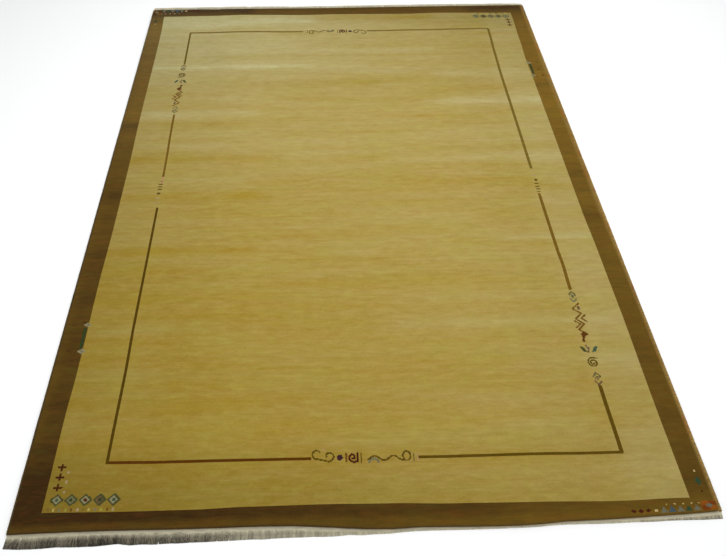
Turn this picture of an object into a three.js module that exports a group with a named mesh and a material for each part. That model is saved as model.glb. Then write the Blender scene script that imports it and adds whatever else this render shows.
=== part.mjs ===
// A hand-knotted wool rug lying flat on a floor.
// Millimetres. +X runs across the rug, +Y along it, +Z up, and z = 0 is the floor.

import * as THREE from 'three';
import { mergeVertices } from 'three/addons/utils/BufferGeometryUtils.js';

// Driving dimensions
const rugWidth = 1700; // over both side bindings
const rugLength = 2400; // the knotted part, without its end strips
const pileHeight = 12; // foundation and pile together
const edgeRound = 4; // the pile's worn, rounded rim
const bindingWidth = 9; // overcast selvedge along each long side
const bindingHeight = 10;
const bindingSwell = 0.4; // how unevenly the selvedge's yarn has packed
const bindingSwellLength = 600;
const stripHeight = 3; // of the flat-woven strip beyond the last knots
const strandCount = 148; // fringe strands at each end
const strandTipHeight = 1.6;
const strandTaper = 10; // a strand thins to its tip's height over this length
const lengthScatter = 0.12; // how unevenly the strands are trimmed, as a share of their length
const sweepScatter = 0.06; // how far a tip strays from its neighbours' sweep, as a share of length
const seam = 0.3; // between neighbouring pieces
const sideLean = 3.5; // the far end lies this far to the right of true, the near end to the left

// Steps of the meshes
const pileColumns = 32;
const pileRows = 38;
const bindingSteps = 24;
const bindingCurve = 4;
const mergeWithin = 1e-4;

const halfWidth = rugWidth / 2;
const halfLength = rugLength / 2;
const halfPile = halfWidth - bindingWidth - seam;
const halfStrip = halfWidth - 1;

// How each end of the rug wanders. across runs over the width, and out is how far the pile goes
// past its nominal end there. strip is the width of the flat-woven strip, and reach is how far the
// strip and its fringe go on from the pile. The near fringe is worn short on the right.
const nearEnd = [
  { across: -850, out: -1, strip: 9, reach: 34 },
  { across: -640, out: -5.5, strip: 9, reach: 34 },
  { across: -430, out: -5.5, strip: 10, reach: 30.5 },
  { across: -200, out: -7.5, strip: 10, reach: 27.5 },
  { across: -110, out: -3, strip: 10, reach: 21.5 },
  { across: 40, out: 6, strip: 7, reach: 10.5 },
  { across: 120, out: 3, strip: 6.5, reach: 9.5 },
  { across: 260, out: 4.5, strip: 5, reach: 7.5 },
  { across: 390, out: 4, strip: 4.5, reach: 7 },
  { across: 460, out: -2, strip: 6, reach: 8.5 },
  { across: 570, out: -5, strip: 7, reach: 10 },
  { across: 770, out: -14, strip: 9, reach: 15 },
  { across: 850, out: -19, strip: 9, reach: 18.5 },
];
const farEnd = [
  { across: -850, out: -6, strip: 10, reach: 34 },
  { across: -420, out: -1.5, strip: 10, reach: 36 },
  { across: -120, out: -2.5, strip: 10, reach: 34 },
  { across: 260, out: 1.5, strip: 10, reach: 37 },
  { across: 850, out: 6, strip: 10, reach: 34 },
];

// The shallow rises of the pile's surface: waves with their lengths across and along the rug.
const pileWaves = [
  { rise: 0.4, across: 5200, along: 1300, start: 0.2 },
  { rise: 0.3, across: 1600, along: -3900, start: 1.3 },
];

// The fringe's sweep to one side and the other, as waves across the rug. sweep is a share of a
// strand's length.
const fringeSweeps = [
  { sweep: 0.28, across: 390 },
  { sweep: 0.16, across: 170 },
];

// A strand's width on its way from root to tip.
const strandStations = [
  { share: 0, width: 6.2 },
  { share: 0.5, width: 5 },
  { share: 1, width: 2.5 },
];

// The selvedge's section, as shares of its width and height.
const bindingShape = { flatFoot: 0.6, crown: 0.45, inside: 0.72 };

const colours = {
  pile: 0xab9650,
  bindingLeft: 0x4a3415,
  bindingRight: 0x86602a,
  fringe: 0xcfc8bb,
};

const turnOf = (place, length) => (2 * Math.PI * place) / length;

// A column of a table, read at x along a smooth curve through its rows.
function readTable(table, x, column) {
  let row = 0;
  while (row < table.length - 2 && x > table[row + 1].across) row += 1;
  const at = (k) => table[THREE.MathUtils.clamp(k, 0, table.length - 1)];
  const slope = (k) => {
    const before = at(k - 1);
    const after = at(k + 1);
    return (after[column] - before[column]) / (after.across - before.across);
  };
  const start = at(row);
  const end = at(row + 1);
  const span = end.across - start.across;
  const t = THREE.MathUtils.clamp((x - start.across) / span, 0, 1);
  const late = t * t * (3 - 2 * t);
  const startSwing = t * (1 - t) * (1 - t) * span * slope(row);
  const endSwing = t * t * (1 - t) * span * slope(row + 1);
  return start[column] * (1 - late) + end[column] * late + startSwing - endSwing;
}

// The same scatter, from -1 to 1, each time for the same number.
function scatter(seed) {
  const wild = Math.sin(seed * 12.9898 + 4.1414) * 43758.5453;
  return 2 * (wild - Math.floor(wild)) - 1;
}

const nearY = (x) => -halfLength - readTable(nearEnd, x, 'out');
const farY = (x) => halfLength + readTable(farEnd, x, 'out');
const leanAt = (y) => (sideLean * y) / halfLength;

function pileTop(x, y) {
  return pileWaves.reduce(
    (top, { rise, across, along, start }) => (
      top + rise * Math.sin(turnOf(x, across) + turnOf(y, along) + start)
    ),
    pileHeight,
  );
}

// How far the rounded rim has dropped at a distance in from the edge.
function rimDrop(inset) {
  if (inset >= edgeRound) return 0;
  const rest = edgeRound - inset;
  return edgeRound - Math.sqrt(edgeRound * edgeRound - rest * rest);
}

// Three lines close together at each edge of the pile's grid carry the rounded rim.
const rimInsets = [0, 0.3 * edgeRound, edgeRound];

// A line of that grid, from 0 to count: its place between two edges, and its distance in from
// the nearer one.
function gridLine(line, count, low, high) {
  const fromEdge = Math.min(line, count - line);
  if (fromEdge < rimInsets.length) {
    const inset = rimInsets[fromEdge];
    return { place: line === fromEdge ? low + inset : high - inset, inset };
  }
  const last = rimInsets.length - 1;
  const share = (line - last) / (count - 2 * last);
  return { place: THREE.MathUtils.lerp(low + edgeRound, high - edgeRound, share), inset: edgeRound };
}

const pileColumn = (column) => gridLine(column, pileColumns, -halfPile, halfPile);

// Drops what stops neighbouring faces from sharing their corners, so that the mesh is closed.
function closed(geometry) {
  geometry.deleteAttribute('normal');
  geometry.deleteAttribute('uv');
  const joined = mergeVertices(geometry, mergeWithin);
  joined.computeVertexNormals();
  return joined;
}

function bend(geometry, move) {
  const spots = geometry.attributes.position;
  const spot = new THREE.Vector3();
  for (let i = 0; i < spots.count; i += 1) {
    spot.fromBufferAttribute(spots, i);
    move(spot);
    spots.setXYZ(i, spot.x, spot.y, spot.z);
  }
}

// The rug itself: a slab on the floor between the two wandering ends.
function pileBody() {
  const slab = new THREE.BoxGeometry(2, 2, 2, pileColumns, pileRows, 1);
  bend(slab, (spot) => {
    const across = pileColumn(Math.round(((spot.x + 1) / 2) * pileColumns));
    const row = Math.round(((spot.y + 1) / 2) * pileRows);
    const along = gridLine(row, pileRows, nearY(across.place), farY(across.place));
    const drop = Math.max(rimDrop(across.inset), rimDrop(along.inset));
    const top = pileTop(across.place, along.place) - drop;
    spot.set(across.place + leanAt(along.place), along.place, spot.z > 0 ? top : 0);
  });
  return closed(slab);
}

// Flat on the floor and against the pile, round on its open side.
function bindingSection() {
  const section = new THREE.Shape();
  section.moveTo(0, 0);
  section.lineTo(bindingWidth * bindingShape.flatFoot, 0);
  section.quadraticCurveTo(bindingWidth, 0, bindingWidth, bindingHeight / 2);
  const crown = bindingWidth * bindingShape.crown;
  section.quadraticCurveTo(bindingWidth, bindingHeight, crown, bindingHeight);
  section.lineTo(0, bindingHeight * bindingShape.inside);
  return section;
}

// A selvedge from end to end. side is 1 on the right and -1 on the left.
function binding(side) {
  const cord = new THREE.ExtrudeGeometry(bindingSection(), {
    depth: 1,
    steps: bindingSteps,
    curveSegments: bindingCurve,
    bevelEnabled: false,
  });
  bend(cord, (spot) => {
    const x = side * (halfPile + seam + spot.x);
    const share = side > 0 ? 1 - spot.z : spot.z;
    const y = THREE.MathUtils.lerp(nearY(x), farY(x), share);
    const swell = 1 + (bindingSwell / bindingHeight) * Math.sin(turnOf(y, bindingSwellLength) + side);
    spot.set(x + leanAt(y), y, spot.y * swell);
  });
  return closed(cord);
}

// The outline of one fringe strand: root, bend and tip up one side, and back down the other.
// at is its place across the rug, and root the distance from the pile to its root.
function strandOutline(at, root, length, seed) {
  const sweep = length * fringeSweeps.reduce(
    (sum, wave) => sum + wave.sweep * Math.sin(turnOf(at, wave.across) + seed),
    sweepScatter * scatter(at + seed),
  );
  const side = (sign) => strandStations.map(({ share, width }) => ({
    across: at + sweep * share * share + (sign * width) / 2,
    out: root + length * share,
  }));
  return [...side(1), ...side(-1).reverse()];
}

// An end strip with its fringe, in one piece that lies level on the floor. turn is 1 at the far
// end and -1 at the near one, where the outline is turned half round.
function endFringe(turn, table, seed) {
  const outline = [{ across: -halfStrip, out: seam }];
  for (let column = 0; column <= pileColumns; column += 1) {
    outline.push({ across: pileColumn(column).place, out: seam });
  }
  outline.push({ across: halfStrip, out: seam });
  const pitch = (2 * halfStrip) / strandCount;
  for (let i = strandCount - 1; i >= 0; i -= 1) {
    const at = -halfStrip + (i + 0.5) * pitch;
    const root = readTable(table, turn * at, 'strip');
    const length = readTable(table, turn * at, 'reach') - root;
    outline.push(...strandOutline(at, root, length * (1 + lengthScatter * scatter(i + seed)), seed));
  }
  const points = outline.map(({ across, out }) => {
    const x = turn * across;
    const y = turn > 0 ? farY(x) + out : nearY(x) - out;
    return new THREE.Vector2(x + leanAt(y), y);
  });
  const comb = new THREE.ExtrudeGeometry(new THREE.Shape(points), {
    depth: stripHeight,
    steps: 1,
    bevelEnabled: false,
  });
  bend(comb, (spot) => {
    if (spot.z === 0) return;
    const pileEdge = turn > 0 ? farY(spot.x) : -nearY(spot.x);
    const pastStrip = turn * spot.y - pileEdge - readTable(table, spot.x, 'strip');
    const share = THREE.MathUtils.clamp(pastStrip / strandTaper, 0, 1);
    spot.z = THREE.MathUtils.lerp(stripHeight, strandTipHeight, share);
  });
  return closed(comb);
}

function wool(colour) {
  return new THREE.MeshStandardMaterial({ color: colour, roughness: 0.95, metalness: 0 });
}

function piece(name, geometry, colour) {
  const mesh = new THREE.Mesh(geometry, wool(colour));
  mesh.name = name;
  return mesh;
}

const rug = new THREE.Group();
rug.add(piece('pile_body', pileBody(), colours.pile));
rug.add(piece('binding_left', binding(-1), colours.bindingLeft));
rug.add(piece('binding_right', binding(1), colours.bindingRight));
rug.add(piece('fringe_near', endFringe(-1, nearEnd, 3), colours.fringe));
rug.add(piece('fringe_far', endFringe(1, farEnd, 8), colours.fringe));

// The origin goes under the middle of the whole rug, fringes included.
const middle = new THREE.Box3().setFromObject(rug).getCenter(new THREE.Vector3());
rug.position.set(-middle.x, -middle.y, 0);
rug.updateMatrixWorld(true);

export default rug;
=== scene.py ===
# A hand-knotted wool rug with a golden field, lying flat on a pale floor.
# The charts are in millimetres from the rug's middle, the meshes in metres.
import math
import random

import bmesh
import bpy
from mathutils import Matrix, Vector, noise


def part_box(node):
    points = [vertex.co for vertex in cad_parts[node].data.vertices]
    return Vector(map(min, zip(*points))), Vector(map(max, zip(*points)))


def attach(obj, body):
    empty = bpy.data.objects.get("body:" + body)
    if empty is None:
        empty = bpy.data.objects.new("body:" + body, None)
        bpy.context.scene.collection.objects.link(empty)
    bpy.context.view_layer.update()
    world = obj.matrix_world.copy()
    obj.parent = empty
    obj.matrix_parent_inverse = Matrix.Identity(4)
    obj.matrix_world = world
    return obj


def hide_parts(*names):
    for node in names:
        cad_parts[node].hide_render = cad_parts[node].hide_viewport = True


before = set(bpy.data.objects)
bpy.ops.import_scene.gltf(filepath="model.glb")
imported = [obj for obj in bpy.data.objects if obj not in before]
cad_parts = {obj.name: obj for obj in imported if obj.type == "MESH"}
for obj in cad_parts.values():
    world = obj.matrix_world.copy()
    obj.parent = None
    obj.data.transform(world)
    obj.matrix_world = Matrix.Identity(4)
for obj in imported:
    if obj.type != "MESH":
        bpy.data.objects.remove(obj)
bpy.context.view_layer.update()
mm = 0.001

pileLow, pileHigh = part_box("pile_body")
middle = (pileLow + pileHigh) / 2 / mm  # the rug's middle, in millimetres of the frame

camera = {
    "place": (-110.2, -1831.1, 1643.0),  # from the rug's middle, at floor level
    "turn": -1.587,
    "tilt": 40.645,
    "roll": 0.235,
    "lens": 34.82,
    "shift": 0.0441,
}
floorLook = {"size": 30, "colour": (0.88, 0.88, 0.875), "roughness": 0.8}
light = {
    "onTheRug": 1.2,  # how far the lamps lift a colour on the floor
    "sky": (0.97, 0.985, 1.0),
    "skyStrength": 0.55,
    "lamps": [
        {"name": "overhead", "at": (0.2, 0.2, 2.8), "size": 2.4, "power": 66},
        {"name": "farWindow", "at": (2.2, 4.4, 2.3), "size": 2.6, "power": 46},
        {"name": "nearWindow", "at": (-1.2, -3.6, 2.6), "size": 2.4, "power": 27},
    ],
}

# Small helpers


def deselectAll():
    if bpy.context.object and bpy.context.object.mode != "OBJECT":
        bpy.ops.object.mode_set(mode="OBJECT")
    bpy.ops.object.select_all(action="DESELECT")


def workOn(piece):
    deselectAll()
    piece.select_set(True)
    bpy.context.view_layer.objects.active = piece


def editAll(piece, action="SELECT", kind=None):
    workOn(piece)
    bpy.ops.object.mode_set(mode="EDIT")
    if kind:
        bpy.ops.mesh.select_mode(type=kind)
    bpy.ops.mesh.select_all(action=action)


def leaveEdit():
    bpy.ops.object.mode_set(mode="OBJECT")


def added(name):
    piece = bpy.context.object
    piece.name = name
    piece.data.name = name
    return piece


def pick(piece, kind, wanted):  # leaves the piece in edit mode with these faces or edges selected
    editAll(piece, "DESELECT", kind)
    leaveEdit()
    for part in piece.data.polygons if kind == "FACE" else piece.data.edges:
        part.select = wanted(part)
    bpy.ops.object.mode_set(mode="EDIT")


def setPlace(piece):  # its place goes into its mesh
    workOn(piece)
    bpy.ops.object.transform_apply(location=True, rotation=True, scale=True)


def applyModifiers(piece):
    workOn(piece)
    for modifier in list(piece.modifiers):
        bpy.ops.object.modifier_apply(modifier=modifier.name)


def vertexPlaces(piece):
    flat = [0.0] * (3 * len(piece.data.vertices))
    piece.data.vertices.foreach_get("co", flat)
    return [flat[i:i + 3] for i in range(0, len(flat), 3)]


def setVertexPlaces(piece, places):
    piece.data.vertices.foreach_set("co", [part for place in places for part in place])
    piece.data.update()


def giveAttribute(piece, name, kind, domain, values):
    attribute = piece.data.attributes.new(name, kind, domain)
    attribute.data.foreach_set("vector" if kind == "FLOAT_VECTOR" else "color", values)


def faceOutwards(piece):
    editAll(piece)
    bpy.ops.mesh.normals_make_consistent(inside=False)
    leaveEdit()


def lowerSelected(piece):  # in edit mode: the selected corners go down to the floor
    cloth = bmesh.from_edit_mesh(piece.data)
    for vertex in cloth.verts:
        if vertex.select:
            vertex.co.z = 0
    bmesh.update_edit_mesh(piece.data)


def repeatInPlace(piece, count):  # copies in one mesh, whose corners are then moved one by one
    copies = piece.modifiers.new("copies", "ARRAY")
    copies.count = count
    copies.use_relative_offset = False
    copies.use_constant_offset = True
    copies.constant_offset_displace = (0, 0, 0)
    applyModifiers(piece)


def framePlace(across, along, height):  # millimetres from the rug's middle, and a height in metres
    return (across + middle.x) * mm, (along + middle.y) * mm, height


def linear(colour):  # a colour as it reads under these lamps, 0 to 255, made the wool's own
    shares = [part / 255 for part in colour]
    plain = [s / 12.92 if s < 0.04045 else ((s + 0.055) / 1.055) ** 2.4 for s in shares]
    return tuple(part / light["onTheRug"] for part in plain)


def clamped(value):
    return min(1, max(0, value))


def steady(t):  # eases in and out
    return t * t * (3 - 2 * t)


def between(stops, place):  # a smooth curve through a few (place, value) stops
    if place <= stops[0][0]:
        return stops[0][1]
    for (low, first), (high, last) in zip(stops, stops[1:]):
        if place <= high:
            return first + (last - first) * steady((place - low) / (high - low))
    return stops[-1][1]


def straightBetween(stops, place):
    for (low, first), (high, last) in zip(stops, stops[1:]):
        if place <= high or (high, last) == stops[-1]:
            return first + (last - first) * (place - low) / (high - low)


# Shader building


class Wire:  # a socket whose sums add Math nodes
    def __init__(self, finish, socket):
        self.finish = finish
        self.socket = socket

    def also(self, name):
        return Wire(self.finish, self.socket.node.outputs[name])

    def maths(self, operation, *values):
        return self.finish.node("Math", {"operation": operation}, dict(enumerate(values)))

    def __add__(self, other):
        return self.maths("ADD", self, other)

    __radd__ = __add__

    def __sub__(self, other):
        return self.maths("SUBTRACT", self, other)

    def __rsub__(self, other):
        return self.maths("SUBTRACT", other, self)

    def __mul__(self, other):
        return self.maths("MULTIPLY", self, other)

    __rmul__ = __mul__

    def __truediv__(self, other):
        return self.maths("DIVIDE", self, other)

    def __gt__(self, other):
        return self.maths("GREATER_THAN", self, other)

    def __lt__(self, other):
        return self.maths("LESS_THAN", self, other)

    def floor(self):
        return self.maths("FLOOR", self)

    def unsigned(self):
        return self.maths("ABSOLUTE", self)

    def sine(self):
        return self.maths("SINE", self)

    def held(self):  # kept from 0 to 1
        return self.maths("MINIMUM", self.maths("MAXIMUM", self, 0), 1)

    def past(self, start, steep):  # grows from 0 at the start to 1, downwards if steep is negative
        return ((self - start) * steep).held()


class Finish:  # one material and its nodes
    def __init__(self, name):
        self.material = bpy.data.materials.new(name)
        self.material.use_nodes = True
        self.tree = self.material.node_tree
        self.tree.nodes.clear()

    def node(self, kind, settings=None, sockets=None, out=0):
        made = self.tree.nodes.new("ShaderNode" + kind)
        for key, value in (settings or {}).items():
            setattr(made, key, value)
        for key, value in (sockets or {}).items():
            if isinstance(value, Wire):
                self.tree.links.new(value.socket, made.inputs[key])
            elif hasattr(value, "__len__") and len(value) == 3 and made.inputs[key].type == "RGBA":
                made.inputs[key].default_value = (*value, 1)
            else:
                made.inputs[key].default_value = value
        return Wire(self, made.outputs[out]) if made.outputs else None

    def attribute(self, name, out="Color"):
        return self.node("Attribute", {"attribute_name": name}, None, out)

    def objectPlace(self):
        return self.node("TexCoord", None, None, "Object")

    def millimetres(self, place, parts="XY"):
        split = self.node("SeparateXYZ", None, {0: place})
        return [split.also(part) * 1000 for part in parts]

    def mixed(self, factor, first, second):  # wires, or colours of a dictionary
        first, second = (part if isinstance(part, Wire) else linear(part) for part in (first, second))
        return self.node("Mix", {"data_type": "RGBA"}, {0: factor, 6: first, 7: second}, 2)

    def lit(self, colour, amount):
        return self.node("VectorMath", {"operation": "SCALE"}, {0: colour, "Scale": amount})

    def point(self, x, y, z=0):
        return self.node("CombineXYZ", None, {0: x, 1: y, 2: z})

    def cloud(self, place, scale=1.0, detail=2.0, rough=0.5):
        sockets = {"Vector": place, "Scale": scale, "Detail": detail, "Roughness": rough}
        return self.node("TexNoise", None, sockets)

    def speck(self, place):
        return self.node("TexWhiteNoise", {"noise_dimensions": "3D"}, {"Vector": place})

    def surface(self, colour, roughness, normal=None, fixed=None):
        sockets = {"Base Color": colour, "Roughness": roughness, **(fixed or {})}
        if normal:
            sockets["Normal"] = normal
        shader = self.node("BsdfPrincipled", None, sockets)
        self.node("OutputMaterial", None, {"Surface": shader})
        return self.material

    def bumped(self, height, distance):
        return self.node("Bump", None, {"Height": height, "Distance": distance})


def wear(piece, material):
    piece.data.materials.clear()
    piece.data.materials.append(material)


# The camera, the floor and the light


def setCamera():
    place = (Vector(camera["place"]) + Vector((middle.x, middle.y, 0))) * mm
    bpy.ops.object.camera_add(location=place)
    eye = added("photoCamera")
    turns = [(camera["turn"], "Z"), (camera["tilt"], "X"), (camera["roll"], "Z")]
    turned = Matrix.Identity(3)
    for degrees, axis in turns:
        turned = turned @ Matrix.Rotation(math.radians(degrees), 3, axis)
    eye.rotation_euler = turned.to_euler()
    eye.data.lens = camera["lens"]
    eye.data.shift_x = camera["shift"]
    bpy.context.scene.camera = eye
    print("camera set")


def setStage():
    bpy.ops.mesh.primitive_plane_add(size=floorLook["size"])
    floor = added("floor")
    look = Finish("paleFloor")
    wear(floor, look.surface(floorLook["colour"], floorLook["roughness"]))
    scene = bpy.context.scene
    scene.world = bpy.data.worlds.new("softSky")
    scene.world.use_nodes = True
    sky = scene.world.node_tree.nodes["Background"]
    sky.inputs["Color"].default_value = (*light["sky"], 1)
    sky.inputs["Strength"].default_value = light["skyStrength"]
    scene.view_settings.view_transform = "Standard"
    for lamp in light["lamps"]:
        bpy.ops.object.light_add(type="AREA", location=lamp["at"])
        made = added(lamp["name"])
        made.data.energy = lamp["power"]
        made.data.size = lamp["size"]
        made.rotation_euler = (-Vector(lamp["at"])).to_track_quat("-Z", "Y").to_euler()
    print("stage set")


# The pile's outline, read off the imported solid
# A knot is a cell of the chart. The chart is straight, and the rug that was knotted from it isn't:
# each line of the chart wanders a little, as told in the tables of (place along it, shift).

pileShape = {
    "knotsPerCell": 4,
    "cellsAcross": 162,
    "cellsAlong": 232,
    "lean": 3.5,  # the far end lies this far to the right of true, the near end to the left
    "rim": 3.4,
    "rimSteps": 3,
    "unevenness": 0.22,  # of the sheared pile's surface
    "unevenLength": 38,
    "dyeVariety": (0.86, 1.14),  # how dark or bright a figure's knots are
    "smoothAngle": 35,
}
chartHalf = {
    "across": (pileHigh.x - pileLow.x) / mm / 2 - pileShape["lean"],
    "along": 1200,
}
knot = {
    "across": 2 * chartHalf["across"] / (pileShape["cellsAcross"] * pileShape["knotsPerCell"]),
    "along": 2 * chartHalf["along"] / (pileShape["cellsAlong"] * pileShape["knotsPerCell"]),
}
border = {"left": -778.9, "right": 777, "near": -1146.6, "far": 1142.1}
frameLine = {"left": -648, "right": 648.3, "near": -1025.7, "far": 1000.7, "width": 8.6}

linesAcross = [  # their places across the rug, and their shifts along it
    (border["left"], [
        (-1100, 1.4), (-900, 0.2), (-750, 3), (-430, 1.4), (-200, 4.3), (100, 4.2), (400, 1.2), (850, 1.5),
        (1000, 0.5), (1140, -4)]),
    (frameLine["left"], [
        (-990, 2.8), (-760, 4.3), (-600, 2.1), (-130, 2.4), (70, 1.6), (380, -3), (790, -1.9), (960, -2.4)]),
    (frameLine["right"], [
        (-990, 0.2), (-870, -1.1), (-460, 2.6), (-400, 4), (-320, 1.4), (-120, 0.6), (300, 1.2), (650, 0.8),
        (800, 3.3), (970, 7.4)]),
    (border["right"], [
        (-1120, 2.2), (-900, 1.4), (-600, 3.6), (-350, 1.8), (-150, -2), (600, -0.8), (750, -2.6), (900, 1.7),
        (1100, 6)]),
]
linesAlong = [  # their places along the rug, and their shifts across it
    (border["near"], [
        (-770, -6.5), (-600, -7.8), (-430, -7), (-290, -2.5), (-100, -0.4), (60, -1.6), (200, -5.2),
        (400, -6.2), (600, -9), (760, -4.8)]),
    (frameLine["near"], [
        (-640, -1.2), (-520, -2.6), (-380, -2), (-180, -2), (170, -3.6), (460, -1.4), (540, -2.4),
        (640, -2)]),
    (frameLine["far"], [(-600, -8), (-400, -1.8), (-220, -6.5), (170, -5), (350, -2.5), (620, 2.5)]),
    (border["far"], [
        (-740, -12), (-600, -8.5), (-430, -1.5), (-150, -8), (0, -4.2), (300, -8), (450, -1.6), (740, -7.6)]),
]


def endStops(side):  # the pile's end, -1 for the near one: (place across, place along) of its corners
    found = {}
    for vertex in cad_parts["pile_body"].data.vertices:
        x, y, z = (part / mm for part in vertex.co)
        if z < 0.01 and side * (y - middle.y) > border["far"]:
            best = found.get(round(x))
            if best is None or side * (y - middle.y) > side * best[1]:
                found[round(x)] = (x - middle.x, y - middle.y)
    return [found[x] for x in sorted(found)]


pileEnd = {-1: endStops(-1), 1: endStops(1)}


def leanAt(along):
    return pileShape["lean"] * along / chartHalf["along"]


def sideAt(side, along):  # the pile's side, -1 for the left one
    return side * chartHalf["across"] + leanAt(along)


def endAt(side, across):  # the pile's end, -1 for the near one
    return straightBetween(pileEnd[side], across)


def rugPlace(across, along):  # where a place on the chart lies on the rug
    stopsX = [(-chartHalf["across"], sideAt(-1, along))]
    stopsX += [(at, at + between(shifts, along)) for at, shifts in linesAcross]
    stopsX += [(chartHalf["across"], sideAt(1, along))]
    x = straightBetween(stopsX, across)
    stopsY = [(-chartHalf["along"], endAt(-1, x))]
    stopsY += [(at, at + between(shifts, across)) for at, shifts in linesAlong]
    stopsY += [(chartHalf["along"], endAt(1, x))]
    return x, straightBetween(stopsY, along)


print("outline read")

# The chart: figures drawn as strokes, each of which dyes the knots under it.
# Their places and widths are in millimetres from the rug's middle.

woolColours = {  # as they read in daylight
    "rust": (87, 49, 6),
    "tan": (112, 84, 24),
    "tanPale": (102, 84, 28),
    "khaki": (113, 93, 32),
    "oliveWarm": (91, 69, 12),
    "rustBrown": (92, 54, 16),
    "brown": (106, 70, 24),
    "olive": (84, 66, 14),
    "oliveDark": (80, 60, 8),
    "oliveLight": (118, 96, 42),
    "maroon": (72, 28, 16),
    "maroonDark": (70, 34, 12),
    "purple": (60, 34, 40),
    "mauve": (104, 80, 54),
    "pink": (168, 132, 92),
    "lilac": (156, 138, 102),
    "lilacGrey": (138, 130, 96),
    "greyBlue": (112, 108, 76),
    "greyGreen": (94, 90, 50),
    "leaf": (70, 72, 38),
    "darkGreen": (50, 62, 30),
    "teal": (64, 84, 62),
    "tealDark": (50, 72, 48),
    "blue": (66, 82, 88),
    "cloud": (104, 102, 82),
    "cream": (190, 166, 112),
    "orange": (138, 78, 22),
    "orangeDeep": (116, 58, 18),
    "yellowGreen": (146, 138, 52),
    "paleYellow": (170, 152, 82),
    "umber": (72, 46, 16),
}


def nearestOn(start, end, point):  # how far the point is from this stretch
    dx, dy = end[0] - start[0], end[1] - start[1]
    length = dx * dx + dy * dy
    share = ((point[0] - start[0]) * dx + (point[1] - start[1]) * dy) / length if length else 0
    share = clamped(share)
    return math.hypot(point[0] - start[0] - share * dx, point[1] - start[1] - share * dy)


def inside(corners, point):  # counts the sides to the right of the point
    odd = False
    for (x1, y1), (x2, y2) in zip(corners, corners[1:] + corners[:1]):
        if (y1 > point[1]) != (y2 > point[1]):
            if point[0] < x1 + (point[1] - y1) * (x2 - x1) / (y2 - y1):
                odd = not odd
    return odd


def arc(centre, radius, start, end, squash=1.0, steps=20):  # angles in degrees
    turns = [math.radians(start + (end - start) * i / steps) for i in range(steps + 1)]
    x, y = centre
    return [(x + radius * math.cos(t), y + squash * radius * math.sin(t)) for t in turns]


def spiral(centre, outer, inner, start, sweep, steps=34):
    points = []
    for i in range(steps + 1):
        share = i / steps
        turn = math.radians(start + sweep * share)
        radius = outer + (inner - outer) * share
        points.append((centre[0] + radius * math.cos(turn), centre[1] + radius * math.sin(turn)))
    return points


def diamondAt(centre, wide, tall):
    x, y = centre
    return [(x - wide, y), (x, y + tall), (x + wide, y), (x, y - tall)]


class Chart:  # the dyed knots of the figures, drawn upright or turned half round
    def __init__(self):
        self.knots = {}
        self.turn = 1
        self.shift = (0, 0)

    def put(self, turn, shift):
        self.turn = turn
        self.shift = shift

    def placed(self, points):
        return [(self.turn * x + self.shift[0], self.turn * y + self.shift[1]) for x, y in points]

    def dye(self, points, reach, colour, covers):
        xs = [x for x, y in points]
        ys = [y for x, y in points]
        firstX = math.floor((min(xs) - reach) / knot["across"])
        firstY = math.floor((min(ys) - reach) / knot["along"])
        for i in range(firstX, math.ceil((max(xs) + reach) / knot["across"]) + 1):
            for j in range(firstY, math.ceil((max(ys) + reach) / knot["along"]) + 1):
                if covers(((i + 0.5) * knot["across"], (j + 0.5) * knot["along"])):
                    self.knots[i, j] = colour

    def line(self, points, width, colour):
        points = self.placed(points)
        for start, end in zip(points, points[1:]):
            reach = width / 2
            self.dye([start, end], reach, colour, lambda point: nearestOn(start, end, point) <= reach)

    def patch(self, corners, colour):
        corners = self.placed(corners)
        self.dye(corners, 0, colour, lambda point: inside(corners, point))

    def block(self, left, low, wide, tall, colour):
        right, high = left + wide, low + tall
        self.patch([(left, low), (left, high), (right, high), (right, low)], colour)

    def dot(self, centre, radius, colour):
        self.patch(arc(centre, radius, 0, 350, steps=14), colour)


def drawNearScrolls(chart):  # two curls, dot, small scroll and wave in the frame's near line
    curls = arc((-124, -1015.5), 10, 35, 275, 1.15)
    curls += spiral((-93, -1019.5), 15, 6.5, 236, 315)
    chart.line(curls, 4.6, "olive")
    chart.dot((-106, -1002), 3.2, "pink")
    chart.dot((-65.5, -1024), 8, "purple")
    chart.line([(-49.7, -1012), (-49.7, -1036)], 4, "brown")
    scroll = [(-20, -1012), (-20, -1034), (-31, -1036.5), (-40.5, -1031), (-42, -1021), (-35, -1015)]
    chart.line(scroll + [(-28, -1019), (-28, -1027), (-34, -1027)], 5.6, "maroon")
    chart.line([(-11.5, -1012), (-12, -1037)], 3.6, "oliveDark")
    chart.line(arc((20, -1040), 12, 165, 15), 5.5, "greyBlue")
    wave = [(x, -1026.5 + 6.5 * math.sin(2 * math.pi * (x - 10) / 48)) for x in range(5, 93, 4)]
    wave += arc((103.5, -1021), 9.5, -100, 230, 1.3)
    chart.line(wave, 4.6, "olive")
    chart.line([(121.5, -1015), (120.5, -1036)], 3.4, "greyGreen")
    chart.line([(131, -1016), (131, -1036)], 3.4, "pink")


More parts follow.
